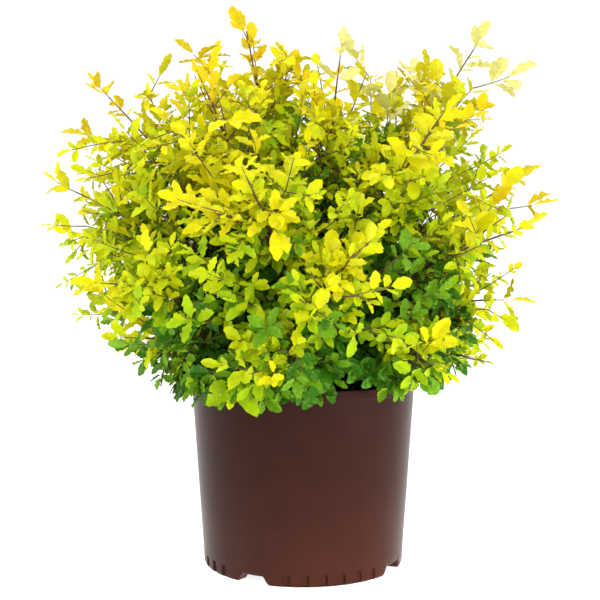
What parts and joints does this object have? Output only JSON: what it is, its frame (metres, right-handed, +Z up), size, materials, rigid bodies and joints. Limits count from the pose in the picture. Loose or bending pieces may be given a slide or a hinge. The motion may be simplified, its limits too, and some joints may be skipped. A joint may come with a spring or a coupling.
{
  "type": "potted golden Chinese privet shrub",
  "caption": "Young golden Chinese privet in a round brown nursery pot: a short trunk, boughs that fan out from its head, and a dense, ragged crown of small yellow-green leaves.",
  "frame": {"origin": "on the ground under the pot's axis, which is the middle of the whole plant's box", "axes": "+Z up along the pot's axis, -Y towards the side that the picture shows, +X to that view's right"},
  "size_m": [0.6485, 0.6012, 0.6884],
  "materials": {
    "brown_plastic": "satin dark red-brown",
    "potting_mix": "loose, damp bark and peat",
    "bark": "matt grey-brown bark",
    "leaf_green": "satin mid-green leaf",
    "leaf_lime": "satin lime leaf",
    "leaf_yellow": "satin yellow leaf",
    "leaf_gold": "satin golden leaf"
  },
  "bodies": {
    "root": {"pot": "brown_plastic", "potting_mix": "potting_mix", "trunk": "bark", "bough_skirt_1": "bark", "bough_skirt_2": "bark", "bough_skirt_3": "bark", "bough_skirt_4": "bark", "bough_skirt_5": "bark", "bough_skirt_6": "bark", "bough_lower_1": "bark", "bough_lower_2": "bark", "bough_lower_3": "bark", "bough_lower_4": "bark", "bough_lower_5": "bark", "bough_lower_6": "bark", "bough_upper_1": "bark", "bough_upper_2": "bark", "bough_upper_3": "bark", "bough_upper_4": "bark", "bough_upper_5": "bark", "bough_upper_6": "bark", "bough_top_1": "bark", "bough_top_2": "bark", "bough_top_3": "bark", "bough_top_4": "bark", "bough_top_5": "bark", "bough_top_6": "bark", "bough_spire_1": "bark", "bough_spire_2": "bark", "foliage_skirt_1": "leaf_green", "foliage_skirt_2": "leaf_green", "foliage_skirt_3": "leaf_green", "foliage_skirt_4": "leaf_green", "foliage_skirt_5": "leaf_green", "foliage_skirt_6": "leaf_green", "foliage_lower_1": "leaf_lime", "foliage_lower_2": "leaf_lime", "foliage_lower_3": "leaf_lime", "foliage_lower_4": "leaf_lime", "foliage_lower_5": "leaf_lime", "foliage_lower_6": "leaf_lime", "foliage_upper_1": "leaf_yellow", "foliage_upper_2": "leaf_yellow", "foliage_upper_3": "leaf_yellow", "foliage_upper_4": "leaf_yellow", "foliage_upper_5": "leaf_yellow", "foliage_upper_6": "leaf_yellow", "foliage_top_1": "leaf_yellow", "foliage_top_2": "leaf_yellow", "foliage_top_3": "leaf_yellow", "foliage_top_4": "leaf_yellow", "foliage_top_5": "leaf_yellow", "foliage_top_6": "leaf_yellow", "foliage_spire_1": "leaf_gold", "foliage_spire_2": "leaf_gold"}
  },
  "joints": []
}
